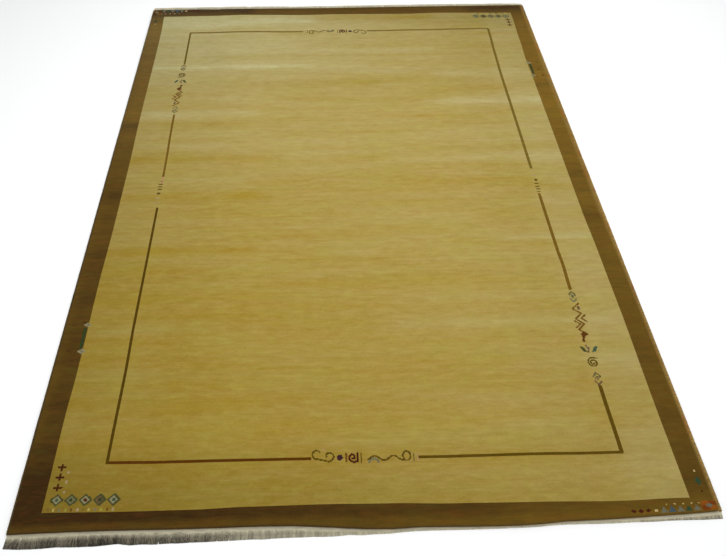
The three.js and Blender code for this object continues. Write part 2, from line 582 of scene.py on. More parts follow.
def drawSideFigures(chart):  # diamonds, chevrons, leaves and a spiral in the frame's right line
    def diamond(top, colour, low):
        chart.line([(639, top - 11), (648, top), (658, top - 10), (656, top - 14)], 4.4, colour)
        chart.line([(643, top - 18), (648, top - 11), (653, top - 17)], 3.8, low)
        chart.dot((648.5, top - 20), 3.2, colour)
        chart.line([(640, top - 26), (647, top - 38), (658, top - 27)], 4.6, low)

    diamond(-501, "greyGreen", "greyBlue")
    chart.patch([(650, -556), (660, -555), (659, -570), (652, -570)], "mauve")
    zigzag = [(648 + 10.5 * (1 - 2 * (i % 2)), -546 - 19 * i) for i in range(6)]
    chart.line(zigzag + [(649, -650)], 5, "brown")
    for x, along, turn in ((654, -601, 1), (647, -622, -1)):
        chart.line([(x + 14 * turn, along + 12), (x, along), (x + 14 * turn, along - 12)], 4.6, "brown")
    chart.patch(diamondAt((649, -658), 12, 11), "rustBrown")
    chart.line([(645, -664), (642, -683)], 7, "rustBrown")
    for x, turn, colour in ((635, -1, "leaf"), (665, 1, "teal")):
        chart.patch([(x - 9 * turn, -721), (x + 3 * turn, -718), (x + 11 * turn, -699), (x, -703)], colour)
    chart.dot((648, -706), 6, "lilacGrey")
    chart.dot((649, -707), 3.6, "mauve")
    chart.line([(643, -697), (648, -710), (646, -720)], 3.4, "mauve")
    chart.line([(664, -741), (646, -739)] + spiral((650, -755), 14.5, 3.5, 130, 560), 4.4, "olive")
    diamond(-789, "greyGreen", "mauve")


def drawSideDots(chart):  # the broken stretch half-way along the frame's right line
    chart.line([(647, 50), (657, 50)], 4, "lilac")
    chart.line([(646, 26), (660, 27)], 4.4, "lilac")
    chart.dot((652.5, 3), 5.6, "olive")
    for along in (-16, -30, -44):
        chart.line([(645, along), (656, along)], 5, "olive")
    chart.line([(645, -57), (654, -57)], 4, "oliveLight")


def drawFieldCorner(chart):  # a plain row of diamonds over short stripes, and crosses up the side
    fills = ["lilacGrey", "greyBlue", "lilacGrey", "mauve", "lilacGrey"]
    hearts = ["teal", "darkGreen", "maroonDark", "darkGreen", "teal"]
    for i, (fill, heart) in enumerate(zip(fills, hearts)):
        centre = (-750 + 34 * i, -1116)
        corners = diamondAt(centre, 14, 13)
        chart.patch(corners, fill)
        chart.line(corners + corners[:1], 4.4, "leaf")
        chart.dot(centre, 4.4, heart)
    stripes = ["oliveLight", "paleYellow", "greyBlue", "yellowGreen", "brown", "lilac"] * 2
    for i, colour in enumerate(stripes):
        chart.block(-769 + 14 * i, -1144, 5, 9, colour)
    for along in (-1035, -1060, -1085):
        chart.line([(-764, along), (-746, along)], 5.2, "maroonDark")
        chart.line([(-755, along - 7), (-755, along + 7)], 5.2, "maroonDark")
        chart.dot((-737, along - 12), 3.2, "lilac")


def drawBorderCorner(chart):  # four squares in the border's corner, a row of teeth and a few diamonds
    first, second = ("orange", "orangeDeep") if chart.turn > 0 else ("brown", "umber")
    for i, colour in enumerate([first, second, second, first]):
        chart.block(800 + 20 * (i % 2), -1178 - 20 * (i // 2), 20, 20, colour)
    chart.patch(diamondAt((820, -1178), 11, 9), "cloud")
    teeth = ["cloud", "blue", "cloud", "tealDark", "cloud"]
    for i, colour in enumerate(teeth):
        tip = 705 + 20 * i
        chart.patch([(tip - 9, -1194), (tip, -1172), (tip + 9, -1194)], colour)
        chart.dot((tip + 10, -1166), 2.6, "cream" if i % 2 else "paleYellow")
    for across in (632, 650, 668):
        chart.patch(diamondAt((across, -1184), 7, 7), "maroon")
    chart.dot((686, -1186), 4.4, "cream")
    chart.patch(diamondAt((815, -1104), 8, 13), "tealDark")
    chart.dot((815, -1078), 3.4, "cream")
    chart.dot((815, -1130), 3.8, "maroonDark")


def drawBorderDiamonds(chart):  # two diamonds and a bar across the border's left inner edge
    for along, wide, tall in ((-592, 12, 8), (-685, 13, 9)):
        chart.patch(diamondAt((-780, along), wide, tall), "lilacGrey")
        chart.patch(diamondAt((-780, along), wide / 2, tall / 2), "greyBlue")
    chart.line([(-785, -605), (-785, -672)], 5.6, "darkGreen")
    for across, along in ((-791, -582), (-817, -594), (-812, -638), (-814, -683)):
        chart.line([(across - 4, along), (across + 4, along)], 4, "umber")


def drawFrameLine(chart):  # the thin line round the field, broken where the figures stand
    left, right, near, far = (frameLine[side] for side in ("left", "right", "near", "far"))
    width = frameLine["width"]
    stretches = [
        ((left, near), (-142, near), "rust"), ((136, near), (right, near), "oliveWarm"),
        ((left, near), (left, -107), "oliveDark"), ((left, 48), (left, 408), "tan"),
        ((left, 757), (left, far), "tanPale"),
        ((left, far), (-163, far), "oliveLight"), ((122, far), (right, far), "oliveLight"),
        ((right, far), (right, 66), "khaki"), ((right, -69), (right, -491), "tan"),
        ((right, -830), (right, near), "oliveWarm"),
    ]
    for start, end, colour in stretches:
        chart.line([start, end], width, colour)
    chart.line([(left, 20), (left, 48)], width, "pink")


def drawChart():
    chart = Chart()
    drawFrameLine(chart)
    figures = [  # and where each stands at the other end of the rug, half turned
        (drawNearScrolls, (-21, -25)),
        (drawSideFigures, (0, -78)),
        (drawSideDots, (0, -30)),
        (drawFieldCorner, (-2, -4.5)),
        (drawBorderCorner, (0, 0)),
        (drawBorderDiamonds, (0, 45)),
    ]
    for draw, shift in figures:
        chart.put(1, (0, 0))
        draw(chart)
        chart.put(-1, shift)
        draw(chart)
    print("chart drawn:", len(chart.knots), "knots of the figures")
    return chart.knots


# The pile: one closed cloth, cut into single knots where the figures are


def pileTop(x, y):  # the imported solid's surface, in metres, away from its rounded rim
    keep = 2 * pileShape["rim"]
    across = min(chartHalf["across"] - keep, max(keep - chartHalf["across"], x))
    along = min(endAt(1, across) - keep, max(endAt(-1, across) + keep, y))
    start = Vector(((across + middle.x) * mm, (along + middle.y) * mm, 1))
    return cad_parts["pile_body"].ray_cast(start, Vector((0, 0, -1)))[1].z


def makePile(knots):
    shape = pileShape
    deselectAll()
    bpy.ops.mesh.primitive_grid_add(
        x_subdivisions=shape["cellsAcross"], y_subdivisions=shape["cellsAlong"], size=2)
    rug = added("rugPile")
    chartPlaces = [(x * chartHalf["across"], y * chartHalf["along"]) for x, y, z in vertexPlaces(rug)]
    onChart = [part for x, y in chartPlaces for part in (x * mm, y * mm, 0)]
    giveAttribute(rug, "chart", "FLOAT_VECTOR", "POINT", onChart)
    palenessAndLightValues = [part for x, y in chartPlaces for part in palenessAndLightAt(x, y)]
    giveAttribute(rug, "palenessAndLight", "FLOAT_COLOR", "POINT", palenessAndLightValues)
    places = []
    for across, along in chartPlaces:
        x, y = rugPlace(across, along)
        wave = noise.noise(Vector((x, y, 0)) / shape["unevenLength"])
        top = pileTop(x, y) + shape["unevenness"] * mm * wave
        places.append(framePlace(x, y, top))
    setVertexPlaces(rug, places)

    editAll(rug, "DESELECT", "EDGE")
    bpy.ops.mesh.select_non_manifold()
    bpy.ops.mesh.extrude_edges_move(TRANSFORM_OT_translate={"value": (0, 0, -pileHigh.z)})
    lowerSelected(rug)
    bpy.ops.mesh.edge_face_add()  # the underside
    faceOutwards(rug)

    atRim = []  # of each corner, whether it is on the upper edge
    for item, place in zip(rug.data.attributes["chart"].data, vertexPlaces(rug)):
        edgeX = chartHalf["across"] - abs(item.vector.x) / mm
        edgeY = chartHalf["along"] - abs(item.vector.y) / mm
        atRim.append(min(edgeX, edgeY) < 0.1 and place[2] > 0)
    pick(rug, "EDGE", lambda edge: atRim[edge.vertices[0]] and atRim[edge.vertices[1]])
    bpy.ops.mesh.bevel(offset=shape["rim"] * mm, segments=shape["rimSteps"], affect="EDGES")
    leaveEdit()

    perCell = shape["knotsPerCell"]
    cells = {(i // perCell, j // perCell) for i, j in knots}
    cellSize = (perCell * knot["across"], perCell * knot["along"])

    def knotOf(face, across, along):  # the cell of a grid that the face's middle is in
        spots = [rug.data.attributes["chart"].data[v].vector for v in face.vertices]
        x = sum(spot.x for spot in spots) / len(spots) / mm
        y = sum(spot.y for spot in spots) / len(spots) / mm
        return math.floor(x / across), math.floor(y / along)

    pick(rug, "FACE", lambda face: face.normal.z > 0.9 and len(face.vertices) == 4
         and knotOf(face, *cellSize) in cells)
    bpy.ops.mesh.subdivide(number_cuts=perCell - 1)
    leaveEdit()

    dyed = [0.0] * (4 * len(rug.data.loops))
    chance = random.Random(11)
    for face in rug.data.polygons:
        spot = knotOf(face, knot["across"], knot["along"])
        if face.normal.z > 0.5 and spot in knots:
            amount = chance.uniform(*shape["dyeVariety"])
            colour = [part * amount for part in linear(woolColours[knots[spot]])] + [1]
            for corner in face.loop_indices:
                dyed[4 * corner:4 * corner + 4] = colour
    giveAttribute(rug, "wool", "FLOAT_COLOR", "CORNER", dyed)
    workOn(rug)
    bpy.ops.object.shade_smooth_by_angle(angle=math.radians(shape["smoothAngle"]))
    print("pile made:", len(rug.data.polygons), "faces")
    return rug


# How pale the wool is, from 0 to 1, by the place along the rug, and how much more to the right (tilt).
# This paleness is partly the dye and partly painted light: the wool is painted paler toward the far end and
# across the rug where the light falls and the pile's sheen shows, and the border's last knots at the near end
# paler where the rim is in shade.
# tone is painted light and shade: how bright the field's wool is besides, falling off toward the ends and the
# sides.
# Each dye lot runs out in a soft band: its place, half width, left and right end, and strength.

palenessAndLightTables = {
    # field, fieldTilt, border and borderTilt: the dye's paleness and painted light together
    "field": [(-1130, 0.09), (-800, 0.11), (-500, 0.13), (-200, 0.20), (0, 0.20), (200, 0.30), (500, 0.30),
              (800, 0.44), (950, 0.46), (1100, 0.60)],
    "fieldTilt": [(-1130, 0.09), (-500, 0.08), (-200, 0.03), (200, 0), (500, -0.05), (700, -0.16),
                  (950, -0.18), (1100, -0.32)],
    "border": [(-1190, 0.27), (-1168, 0.11), (-1110, 0.13), (-990, 0.20), (-750, 0.27), (-450, 0.30),
               (-100, 0.34), (200, 0.42), (450, 0.52), (1050, 0.5), (1120, 0.34), (1165, 0.24), (1190, 0.18)],
    "borderTilt": [(-1190, 0.16), (-1150, 0.18), (-1110, 0.10), (0, 0.11), (900, 0.07), (1050, 0)],
    "leftEdge": [(-1050, 0.03), (-900, 0.12), (-650, 0.09), (-200, 0.06), (100, 0), (500, -0.08),
                 (900, -0.06)],
    "paintedSheen": [(0, 0), (600, 0.02), (1000, 0.05), (1180, 0.03)],  # painted sheen, on the left
    # the tone, its tilt and the tone across are painted light and shade: a brightness that falls off toward
    # the ends and the sides
    "tone": [(-1140, 0.83), (-1040, 0.90), (-930, 0.98), (-600, 1), (450, 1), (700, 0.95), (1000, 0.92),
             (1110, 0.84)],
    "toneTilt": [(-1100, 0.1), (-950, 0.02), (900, 0), (1100, -0.07)],
    "paintedLightAcross": [(-760, 0.89), (-600, 0.955), (-300, 1.035), (300, 1.04), (600, 0.985), (760, 0.96)],
    "rightEdge": [(600, 0), (690, 0.12)],  # how much paler the field's wool is there
    "wander": 9,  # how far a band strays from a straight line
    "wanderLength": 330,
    "patchy": 0.6,  # how unevenly a band shows
    "patchLengths": (140, 60),
    "endSoft": 110,
    "reach": {"field": 600, "border": 814, "tone": 600, "paintedSheen": 800},  # where a tilt counts in full
    "leftEdgeFrom": 812,
    "leftEdgeSoft": 25,
}
dyeBands = {
    "field": [
        (1095, 42, -800, -120, 0.26), (1115, 38, -130, 420, -0.24), (890, 50, -800, -150, 0.08),
        (845, 18, -500, 400, 0.14), (690, 60, 400, 800, 0.06), (500, 60, 400, 800, 0.07),
        (200, 24, 620, 800, -0.10), (275, 40, 400, 660, 0.07), (-25, 18, 620, 800, -0.09),
        (-175, 22, 400, 800, -0.10), (-880, 110, 600, 800, -0.12), (-820, 240, -800, -560, 0.06),
        (728, 17, -800, -150, 0.38), (728, 17, -150, 250, 0.12), (690, 20, 0, 800, 0.08),
        (655, 25, 400, 800, 0.14), (605, 40, -450, 150, -0.10), (545, 20, 350, 700, -0.10),
        (472, 24, 330, 800, 0.26), (415, 24, -800, -330, 0.18), (395, 22, 100, 700, -0.08),
        (350, 26, -800, 100, -0.05), (215, 14, -800, -400, 0.10), (150, 24, -800, -250, -0.16),
        (135, 24, 150, 800, 0.08), (25, 30, -800, -350, 0.10), (-45, 28, -800, -300, -0.12),
        (5, 34, 150, 700, -0.09), (-268, 12, 450, 800, 0.20), (-308, 18, -800, -300, -0.12),
        (-322, 18, -80, 60, 0.14), (-605, 18, 100, 800, 0.14), (-618, 18, -800, -550, 0.08),
        (-742, 12, 450, 800, 0.09), (-935, 18, 330, 620, 0.10),
    ],
    "border": [
        (1020, 36, -850, -300, 0.06), (805, 20, -850, -300, -0.14), (640, 34, 300, 850, 0.07),
        (570, 17, 300, 850, -0.15), (450, 20, 300, 850, 0.11), (340, 24, -850, -300, -0.16),
        (430, 26, -850, -300, 0.07), (-735, 50, 300, 850, -0.07), (1178, 24, 560, 860, -0.12),
        (270, 16, -850, -300, 0.05), (30, 20, 300, 850, -0.09), (-35, 28, -850, -300, -0.14),
        (-90, 26, 300, 850, 0.12), (-185, 24, 300, 850, -0.18), (-320, 22, -850, -300, -0.10),
        (-490, 28, -850, -300, -0.10), (-1070, 30, -850, -300, -0.12), (1178, 30, -950, -380, -0.22),
        (-1165, 34, 330, 850, 0.10),
    ],
}


def bandsAt(kind, across, along):
    look = palenessAndLightTables
    patchAcross, patchAlong = look["patchLengths"]
    total = 0
    for at, half, left, right, strength in dyeBands[kind]:
        stray = look["wander"] * noise.noise(Vector((across / look["wanderLength"], at, 0)))
        off = (along - at - stray) / half
        if abs(off) < 3:
            ends = min((across - left) / look["endSoft"] + 0.5, (right - across) / look["endSoft"] + 0.5)
            spot = Vector((across / patchAcross, at, along / patchAlong))
            patches = 1 + look["patchy"] * noise.noise(spot)
            total += strength * steady(clamped(ends)) * patches * math.exp(-off * off)
    return total


def palenessAndLightAt(across, along):  # how pale the field's wool and the border's are (the dye with painted light), the tone (painted light and shade), and the painted sheen
    look = palenessAndLightTables

    def tilted(kind):
        tilt = between(look[kind + "Tilt"], along)
        return between(look[kind], along) + tilt * across / look["reach"][kind]

    atLeft = clamped((-look["leftEdgeFrom"] - across) / look["leftEdgeSoft"])
    field = tilted("field") + between(look["rightEdge"], across) + bandsAt("field", across, along)
    brown = tilted("border") + between(look["leftEdge"], along) * atLeft + bandsAt("border", across, along)
    # painted light and shade: the field's brightness falls off toward the ends and the sides
    tone = tilted("tone") * between(look["paintedLightAcross"], across)
    # painted sheen: a pale haze toward the far end on the left
    paintedSheen = between(look["paintedSheen"], along) * max(0, -across) / look["reach"]["paintedSheen"]
    return field, brown, tone, paintedSheen


pileLook = {
    "fieldDeep": (158, 130, 46),
    "fieldPale": (192, 183, 134),
    "fieldGreen": (160, 152, 66),
    "fieldWarm": (184, 146, 78),
    "borderDeep": (60, 40, 15),
    "borderPale": (142, 110, 34),
    "borderRed": (110, 62, 24),
    "borderGreen": (80, 76, 26),
    # the colour of the painted sheen
    "paintedSheenGrey": (180, 178, 150),
    "clouds": {  # how often across and along, which one, detail and roughness
        "lots": (0.0018, 0.019, 3, 5, 0.62),
        "drift": (0.004, 0.012, 9, 2, 0.5),
        "blotch": (0.012, 0.05, 13, 3, 0.65),
        "streaks": (0.019, 0.075, 5, 4, 0.72),
        "patches": (0.026, 0.045, 21, 4, 0.65),
    },
    "fieldLots": 0.56,  # how much the dye lots and the streaks change the paleness
    "fieldLotsFarther": 0.0002,  # more for each millimetre along
    "fieldStreaks": 0.34,
    "borderLots": 0.3,
    "borderStreaks": 0.2,
    "fieldWashes": [  # the cloud, where in it the wash starts, how steeply, how strong, and the colour
        ("drift", 0.42, 3, 0.3, "fieldGreen"),
        ("patches", 0.53, 6, 0.32, "fieldGreen"),
        ("patches", 0.47, -6, 0.26, "fieldWarm"),
    ],
    "borderWashes": [
        ("blotch", 0.53, 5, 0.35, "borderRed"),
        ("blotch", 0.46, -5, 0.35, "borderGreen"),
    ],
    "edgeStripe": (140, 114, 58),  # the last knots before the right selvedge
    "edgeOrange": (150, 98, 38),
    "orangeOften": 0.009,
    "orangeShare": 0.8,
    "stripeWidth": 14,
    "stripeNear": 0.45,  # its share of the width at the near end
    "stripeFrom": -400,  # and where it starts to widen
    "stripeGrows": 250,
    "rimLight": (176, 158, 112),  # painted light on the last knots at both ends, where the rim is in shade
    "rimLightShare": 0.05,
    "rimLightWidth": 4,
    "streak": 0.34,  # how much the streaks, patches, rows and single knots vary in tone
    "mottle": 0.2,
    "row": 0.05,
    "single": 0.08,
    "roughness": 0.92,
    "sheen": 0.03,
    "sheenRoughness": 0.5,
    "shine": 0.02,
    "knotHeight": 0.5,  # the relief, in millimetres, and what has a share in it
    "fibreHeight": 0.8,
    "humpHeight": 0.6,
    "streakHeight": 1.2,
}


def pileWool():
    look = pileLook
    m = Finish("pileWool")
    across, along = m.millimetres(m.attribute("chart", "Vector"))
    column = (across / knot["across"]).floor()
    row = (along / knot["along"]).floor()
    knotX = (column + 0.5) * knot["across"]
    knotY = (row + 0.5) * knot["along"]
    inField = (knotX > border["left"]) * (knotX < border["right"])
    inField = inField * (knotY > border["near"]) * (knotY < border["far"])

    clouds = {}
    for name, (oftenAcross, oftenAlong, number, detail, rough) in look["clouds"].items():
        spot = m.point(across * oftenAcross, along * oftenAlong, number)
        clouds[name] = m.cloud(spot, detail=detail, rough=rough)
    lots, streaks = clouds["lots"] - 0.5, clouds["streaks"] - 0.5
    rows = m.speck(m.point(row, 7)) - 0.5
    single = m.speck(m.point(column, row)) - 0.5

    def washed(colour, washes):
        for name, start, steep, share, wash in washes:
            colour = m.mixed(clouds[name].past(start, steep) * share, colour, look[wash])
        return colour

    # its channels hold the dye's paleness with painted light (red for the field, green for the border),
    # painted light and shade (blue) and painted sheen (alpha)
    palenessAndLight = m.attribute("palenessAndLight")
    palenessAndLightParts = m.node("SeparateColor", None, {0: palenessAndLight})
    lotsShare = along * look["fieldLotsFarther"] + look["fieldLots"]
    fieldPaleness = (palenessAndLightParts + lots * lotsShare + streaks * look["fieldStreaks"]).held()
    field = m.mixed(fieldPaleness, look["fieldDeep"], look["fieldPale"])
    # painted light and shade: the field is lit by the blue channel
    field = m.lit(washed(field, look["fieldWashes"]), palenessAndLightParts.also("Blue"))

    brownPaleness = palenessAndLightParts.also("Green") + lots * look["borderLots"] + streaks * look["borderStreaks"]
    brown = m.mixed(brownPaleness.held(), look["borderDeep"], look["borderPale"])
    brown = washed(brown, look["borderWashes"])
    # painted sheen: the border turns hazy grey toward the far end on the left
    brown = m.mixed(palenessAndLight.also("Alpha"), brown, look["paintedSheenGrey"])

    wider = ((knotY - look["stripeFrom"]) / look["stripeGrows"]).held() * (1 - look["stripeNear"])
    stripeWidth = look["stripeWidth"] * (look["stripeNear"] + wider)
    stripe = ((knotX - chartHalf["across"]) / stripeWidth + 1).held()
    oranges = m.cloud(m.point(along * look["orangeOften"], 17))
    orange = oranges.past(0.48, 7) * look["orangeShare"]
    brown = m.mixed(stripe, brown, m.mixed(orange, look["edgeStripe"], look["edgeOrange"]))
    # painted light: the last knots at each end are mixed toward a pale colour, lifting the rim out of its
    # shade
    rimLightMask = ((knotY.unsigned() - chartHalf["along"] + look["rimLightWidth"]) / look["rimLightWidth"]).held()
    brown = m.mixed(rimLightMask * look["rimLightShare"], brown, look["rimLight"])

    wool = m.attribute("wool")
    dyed = m.mixed(wool.also("Alpha"), m.mixed(inField, brown, field), wool)
    amount = 1 + streaks * look["streak"] + (clouds["patches"] - 0.5) * look["mottle"]
    colour = m.lit(dyed, amount + rows * look["row"] + single * look["single"])

    humpAcross = (across / knot["across"] * math.pi).sine().unsigned()
    humpAlong = (along / knot["along"] * math.pi).sine().unsigned()
    fibres = m.cloud(m.point(across, along), scale=0.9, detail=3, rough=0.7)
    height = humpAcross * humpAlong * look["humpHeight"] + fibres * look["fibreHeight"]
    height = height + clouds["streaks"] * look["streakHeight"]
    return m.surface(colour, look["roughness"], m.bumped(height, look["knotHeight"] * mm), {
        "Sheen Weight": look["sheen"],
        "Sheen Roughness": look["sheenRoughness"],
        "Specular IOR Level": look["shine"],
    })


# The selvedges: yarn wrapped round each long side, one turn to a row of knots

selvedge = {
    "seam": 0.3,
    "width": {
        -1: [(-1200, 5.6), (0, 5.2), (800, 3.8), (1200, 3.6)],
        1: [(-1200, 10.4), (-300, 9.6), (100, 9), (1200, 9)],
    },
    "height": 10.0,
    "yarn": 1.75,  # its radius before it is pressed against its neighbours
    "pitch": 2.6,
    "slant": 1.6,  # how far a turn runs on along the side while it crosses it
    "aroundSteps": 11,
    "yarnSteps": 5,
    "swell": 0.07,  # how much thicker it is in places
    "swellLength": 95,
    "jitter": 0.18,
    "tone": {  # how bright the yarn is along each side
        -1: [(-1200, 1.05), (1200, 1)],
        1: [(-1190, 0.92), (-1000, 1.06), (-860, 1.08), (-760, 0.94), (-540, 0.93), (-340, 1.02),
            (-190, 1.14), (-30, 1.1), (60, 1), (190, 1.1), (350, 0.97), (480, 0.99), (860, 1.08),
            (960, 1.06), (1060, 0.9), (1170, 0.64)],
    },
}


def selvedgeWidthAt(side, end):  # -1 and 1 for left and right, near and far
    return selvedge["width"][side][0 if end < 0 else -1][1]


def makeSelvedge(side, name):
    shape = selvedge
    deselectAll()
    ring = shape["height"] / 2 - shape["yarn"]
    bpy.ops.mesh.primitive_torus_add(
        major_segments=shape["aroundSteps"], minor_segments=shape["yarnSteps"],
        major_radius=ring, minor_radius=shape["yarn"], rotation=(math.pi / 2, 0, 0))
    cord = added(name)
    setPlace(cord)
    near, far = endAt(-1, side * chartHalf["across"]), endAt(1, side * chartHalf["across"])
    turns = int((far - near) / shape["pitch"])
    turnCorners = len(cord.data.vertices)
    repeatInPlace(cord, turns)

    chance = random.Random(5 + side)
    jitters = [[chance.uniform(-1, 1) * shape["jitter"] for k in range(3)] for turn in range(turns)]
    places, tones = [], []
    for i, (x, y, z) in enumerate(vertexPlaces(cord)):
        turn = i // turnCorners
        jitter = jitters[turn]
        along = near + (turn + 0.5) * (far - near) / turns
        swell = 1 + shape["swell"] * noise.noise(Vector((along / shape["swellLength"], side, 0)))
        width = between(shape["width"][side], along)
        out = shape["seam"] + width * (0.5 + side * x * swell / shape["height"]) + jitter[0]
        lean = shape["slant"] * (z - side * x) / shape["height"]
        up = max(0.0, (z + shape["height"] / 2) * swell + jitter[1] * (1 if z > 0 else 0))
        spot = along + y + lean + jitter[2]
        places.append(framePlace(sideAt(side, spot) + side * out, spot, up * mm))
        tones += [between(shape["tone"][side], along)] * 4
    setVertexPlaces(cord, places)
    giveAttribute(cord, "tone", "FLOAT_COLOR", "POINT", tones)
    faceOutwards(cord)
    bpy.ops.object.shade_smooth()
    print(name, "made:", turns, "turns")
    return cord


yarnLooks = {
    "binding_left": {
        "main": (86, 66, 28),
        "second": (98, 78, 34),
        "patch": (64, 46, 20),
        "patchShare": 0.42,
        "paintedSheen": 0.4,  # painted sheen: how hazy it looks at the far end
    },
    "binding_right": {
        "main": (170, 138, 68),
        "second": (152, 118, 54),
        "patch": (158, 110, 54),
        "patchShare": 0.44,
        "paintedSheen": 0,
    },
}
yarnFinish = {
    "lotOften": 0.35,
    "patchOften": 0.011,
    "turnVaries": 0.3,
    "paintedSheenReach": 1000,
    "plyAcross": 1.87,  # the two plies run round the yarn at a slant
    "plyAlong": 4.08,
    "plyHeight": 0.4,
    "relief": 0.35,  # millimetres
    "roughness": 0.88,
    "sheen": 0.08,
    "shine": 0.2,
}


def yarnWool(name):
    look, finish = yarnLooks[name], yarnFinish
    m = Finish(name + "Yarn")
    across, along, up = m.millimetres(m.objectPlace(), "XYZ")
    turn = (along / selvedge["pitch"]).floor()
    lots = m.cloud(m.point(turn * finish["lotOften"], 4))
    patches = m.cloud(m.point(along * finish["patchOften"], 8), detail=3, rough=0.65)
    colour = m.mixed(lots.past(0.4, 5), look["main"], look["second"])
    colour = m.mixed(patches.past(look["patchShare"], -14), colour, look["patch"])
    # painted sheen: the yarn turns hazy grey toward the far end
    paintedSheen = (along / finish["paintedSheenReach"]).held() * look["paintedSheen"]
    colour = m.mixed(paintedSheen, colour, pileLook["paintedSheenGrey"])
    varied = 1 + (m.speck(m.point(turn, 1)) - 0.5) * finish["turnVaries"]
    colour = m.lit(colour, m.attribute("tone", "Fac") * varied)
    ply = ((across + up) * finish["plyAcross"] + along * finish["plyAlong"]).sine()
    hair = m.cloud(m.point(across, along, up), scale=1.8, detail=3, rough=0.7)
    normal = m.bumped(ply * finish["plyHeight"] + hair, finish["relief"] * mm)
    fixed = {"Sheen Weight": finish["sheen"], "Specular IOR Level": finish["shine"]}
    return m.surface(colour, finish["roughness"], normal, fixed)


# The ends: a flat-woven strip past the last knots, and the warps' loose ends beyond it

endWeave = {
    "seam": 0.3,
    "width": {  # it is worn narrow at the near end's right
        -1: [(-850, 9), (-640, 9), (-430, 10), (-110, 10), (40, 7), (120, 6.5), (260, 5), (390, 4.2),
             (460, 5.6), (570, 6.6), (770, 9), (850, 9)],
        1: [(-850, 10), (850, 10)],
    },
    "height": 2.5,
    "below": 0.5,  # how far the middle of the weave lies under that height
    "relief": 0.225,
    "threadsAcross": 660,
    "picks": 8,
    "sideInset": 1,
    "wobble": 0.25,
    "edgeWander": 0.12,  # of its outer edge, as a share of the width
    "edgeLength": 24,
    "smoothAngle": 60,
}


def makeEndStrip(side, name):
    shape = endWeave
    deselectAll()
    bpy.ops.mesh.primitive_grid_add(
        x_subdivisions=shape["threadsAcross"], y_subdivisions=shape["picks"], size=2)
    strip = added(name)
    past = {edge: selvedgeWidthAt(edge, side) - shape["sideInset"] for edge in (-1, 1)}
    chance = random.Random(31 + side)
    places = []
    for x, y, z in vertexPlaces(strip):
        across = x * (chartHalf["across"] + past[1 if x > 0 else -1])
        width = straightBetween(shape["width"][side], across)
        out = shape["seam"] + (y + 1) / 2 * (width - shape["seam"])
        column = round((x + 1) / 2 * shape["threadsAcross"])
        row = round((y + 1) / 2 * shape["picks"])
        over = 1 if (column + row) % 2 else -1
        wobble = chance.uniform(-shape["wobble"], shape["wobble"])
        if row == shape["picks"]:
            out += shape["edgeWander"] * width * noise.noise(Vector((across / shape["edgeLength"], side, 2)))
        elif row > 0:
            out += wobble * 0.4
        top = shape["height"] - shape["below"] + over * shape["relief"] + wobble / 2
        along = endAt(side, across) + side * out
        places.append(framePlace(across + leanAt(along), along, top * mm))
    setVertexPlaces(strip, places)
    editAll(strip)
    bpy.ops.mesh.extrude_region_move(TRANSFORM_OT_translate={"value": (0, 0, -shape["height"] * mm)})
    lowerSelected(strip)
    faceOutwards(strip)
    bpy.ops.object.shade_smooth_by_angle(angle=math.radians(shape["smoothAngle"]))
    print(name, "made")
    return strip


stripLook = {
    "ivory": (204, 196, 168),
    "grey": (176, 168, 146),
    "warm": (196, 182, 146),
    "brighterRight": 0.2,
    "brightensFor": 500,  # from the middle to the right
    "relief": 0.25,
}
cottonFinish = {"roughness": 0.9, "shine": 0.2}


def cottonSurface(m, colour, normal):
    return m.surface(colour, cottonFinish["roughness"], normal, {"Specular IOR Level": cottonFinish["shine"]})


def stripCotton():
    look = stripLook
    m = Finish("stripCotton")
    across, along = m.millimetres(m.objectPlace())
    tone = m.cloud(m.point(across * 0.03, along * 0.2), detail=3, rough=0.6)
    threads = m.cloud(m.point(across * 0.5, along * 1.4))
    colour = m.mixed(tone.past(0.35, 3.3), look["grey"], look["ivory"])
    colour = m.mixed(threads.past(0.5, 4) * 0.5, colour, look["warm"])
    colour = m.lit(colour, 1 + (across / look["brightensFor"]).held() * look["brighterRight"])
    hair = m.cloud(m.point(across, along), scale=2.2, detail=3, rough=0.7)
    return cottonSurface(m, colour, m.bumped(hair, look["relief"] * mm))


fringe = {
    "strands": 2700,
    "steps": 6,
    "sides": 4,
    "thickness": 1.0,
    "thinning": 0.35,  # how much thinner a strand is at its tip
    "reachCells": 60,
    "rootUp": 1.3,
    "rootIn": 1.5,  # how far it starts inside the strip
    "sideInset": 3,
    "pileUp": 2.6,  # how high the strands lie over each other
    "landsAt": 0.87,  # where along a strand it is down on the floor
    "flatEvery": 3,  # each third strand lies flat and wide under the others, as a backing painted with the shade between the locks
    "flatWide": 6,
    "flatSway": 0.2,  # how much of its bends, and of the locks' sweep, a flat one keeps
    "flatTurn": 0.3,
    "sweeps": [(0.22, 390), (0.13, 170)],  # the whole fringe combed aside: radians, how often
    "lock": 8.5,  # the width of a lock, how far it turns, and how far its strands are drawn together
    "lockTurn": 0.35,
    "drawn": 0.8,
    "clump": 3.1,  # strands so near each other are about as light
    "clumpShare": 0.65,
    "stray": 0.2,  # radians
    "bend": 0.3,
    "wave": 0.3,
    "ragged": 0.14,  # how far a tip falls short, as a share of the length
    "curly": 0.04,  # the share of curly strands, how far they bend, and how long they have to be
    "curl": 3.6,
    "curlFrom": 8,
    "sparseFrom": 6,  # below this length half the strands are left out
    "shortest": 2,
    "tipDark": 0.12,  # how much darker a strand is at its tip, by its soil and painted shade
    "smoothAngle": 70,
}
tangles = {-1: [(-455, 60), (-340, 22)], 1: [(120, 30)]}  # where the fringe is matted: place, half width
